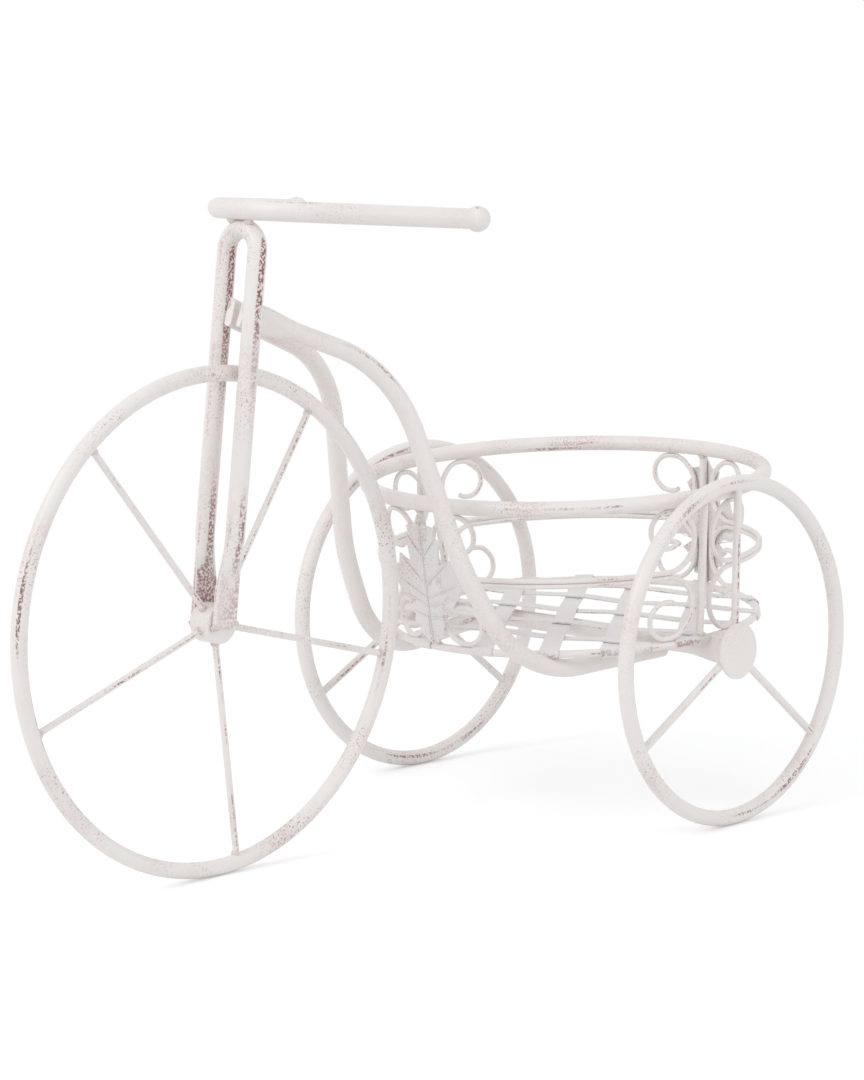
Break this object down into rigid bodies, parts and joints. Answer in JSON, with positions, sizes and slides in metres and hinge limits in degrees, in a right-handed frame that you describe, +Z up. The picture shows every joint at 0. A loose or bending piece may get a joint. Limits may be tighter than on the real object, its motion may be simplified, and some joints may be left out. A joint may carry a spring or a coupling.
{
  "type": "tricycle plant stand",
  "caption": "Tricycle-shaped plant stand: tall front wheel, swept handlebar, two rear wheels and an oval wire basket with scrolls and leaves that holds a pot.",
  "frame": {"origin": "on the floor, midway between the front and rear ends of the stand, on its middle plane", "axes": "+X towards the front wheel, +Y towards the stand's left side, +Z up"},
  "size_m": [0.7192, 0.3578, 0.489],
  "materials": {
    "tube_paint": "off-white satin paint, rubbed through to reddish brown along the edges",
    "wire_paint": "off-white satin paint on wire",
    "sheet_paint": "off-white satin paint on sheet steel, darker where worn"
  },
  "bodies": {
    "root": {"basket_bottom_ring": "wire_paint", "basket_post_front": "wire_paint", "basket_post_left": "wire_paint", "basket_post_rear": "wire_paint", "basket_post_right": "wire_paint", "basket_rim": "tube_paint", "floor_strip_narrow_1": "sheet_paint", "floor_strip_narrow_2": "sheet_paint", "floor_strip_narrow_3": "sheet_paint", "floor_strip_narrow_4": "sheet_paint", "floor_strip_narrow_5": "sheet_paint", "floor_strip_wide_1": "sheet_paint", "floor_strip_wide_2": "sheet_paint", "floor_strip_wide_3": "sheet_paint", "floor_strip_wide_4": "sheet_paint", "floor_strip_wide_5": "sheet_paint", "fork": "tube_paint", "frame_tube_left": "tube_paint", "frame_tube_right": "tube_paint", "front_hub_drum": "tube_paint", "front_spoke_1": "wire_paint", "front_spoke_2": "wire_paint", "front_spoke_3": "wire_paint", "front_spoke_4": "wire_paint", "front_spoke_5": "wire_paint", "front_wheel_ring": "tube_paint", "handlebar": "tube_paint", "handlebar_knob_left": "tube_paint", "handlebar_knob_right": "tube_paint", "leaf_front": "sheet_paint", "leaf_rear": "sheet_paint", "rear_axle": "tube_paint", "rear_hub_disc_left": "tube_paint", "rear_hub_disc_right": "tube_paint", "rear_spoke_left_1": "wire_paint", "rear_spoke_left_2": "wire_paint", "rear_spoke_left_3": "wire_paint", "rear_spoke_right_1": "wire_paint", "rear_spoke_right_2": "wire_paint", "rear_spoke_right_3": "wire_paint", "rear_wheel_ring_left": "tube_paint", "rear_wheel_ring_right": "tube_paint", "scroll_lower_front_left": "wire_paint", "scroll_lower_front_right": "wire_paint", "scroll_lower_rear_left": "wire_paint", "scroll_lower_rear_right": "wire_paint", "scroll_upper_front_left": "wire_paint", "scroll_upper_front_right": "wire_paint", "scroll_upper_rear_left": "wire_paint", "scroll_upper_rear_right": "wire_paint"}
  },
  "joints": []
}
